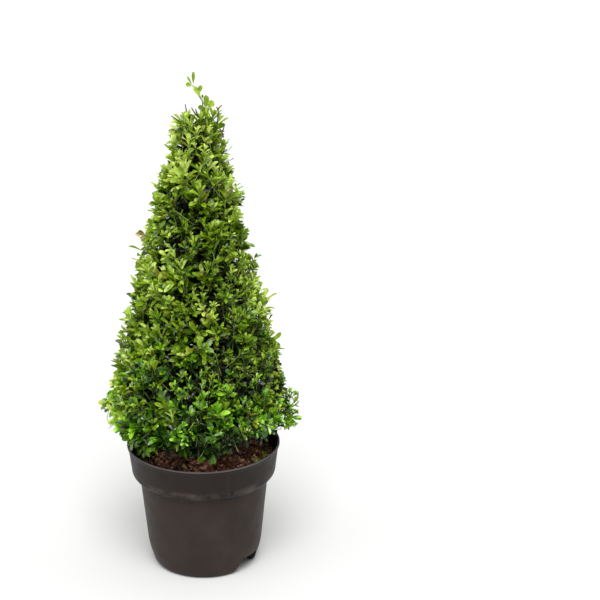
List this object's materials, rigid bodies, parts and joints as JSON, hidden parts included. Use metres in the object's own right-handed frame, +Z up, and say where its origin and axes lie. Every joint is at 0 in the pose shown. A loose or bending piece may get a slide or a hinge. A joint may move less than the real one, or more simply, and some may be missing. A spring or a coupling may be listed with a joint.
{
  "type": "potted clipped box cone",
  "caption": "Small-leaved evergreen box shrub clipped to a tall cone, with a short trunk and boughs inside, grown in a round plastic nursery pot filled with compost.",
  "frame": {"origin": "centre of the pot's flat underside, on the ground", "axes": "+Z up along the pot's axis and the trunk, -Y towards the viewer of the picture, +X to the right"},
  "size_m": [0.3624, 0.3586, 0.93],
  "materials": {
    "pot": "satin, taupe grey",
    "soil": "rough, dark brown bark compost",
    "bark": "rough grey-brown bark",
    "foliage": "semi-gloss green leaves"
  },
  "bodies": {
    "root": {"pot": "pot", "soil": "soil", "trunk": "bark", "leader": "bark", "bough_skirt_1": "bark", "foliage_skirt_1": "foliage", "bough_skirt_2": "bark", "foliage_skirt_2": "foliage", "bough_skirt_3": "bark", "foliage_skirt_3": "foliage", "bough_skirt_4": "bark", "foliage_skirt_4": "foliage", "bough_skirt_5": "bark", "foliage_skirt_5": "foliage", "bough_skirt_6": "bark", "foliage_skirt_6": "foliage", "bough_lower_1": "bark", "foliage_lower_1": "foliage", "bough_lower_2": "bark", "foliage_lower_2": "foliage", "bough_lower_3": "bark", "foliage_lower_3": "foliage", "bough_lower_4": "bark", "foliage_lower_4": "foliage", "bough_lower_5": "bark", "foliage_lower_5": "foliage", "bough_middle_1": "bark", "foliage_middle_1": "foliage", "bough_middle_2": "bark", "foliage_middle_2": "foliage", "bough_middle_3": "bark", "foliage_middle_3": "foliage", "bough_middle_4": "bark", "foliage_middle_4": "foliage", "bough_upper_1": "bark", "foliage_upper_1": "foliage", "bough_upper_2": "bark", "foliage_upper_2": "foliage", "bough_upper_3": "bark", "foliage_upper_3": "foliage", "bough_neck_1": "bark", "foliage_neck_1": "foliage", "bough_neck_2": "bark", "foliage_neck_2": "foliage", "foliage_tip": "foliage"}
  },
  "joints": []
}
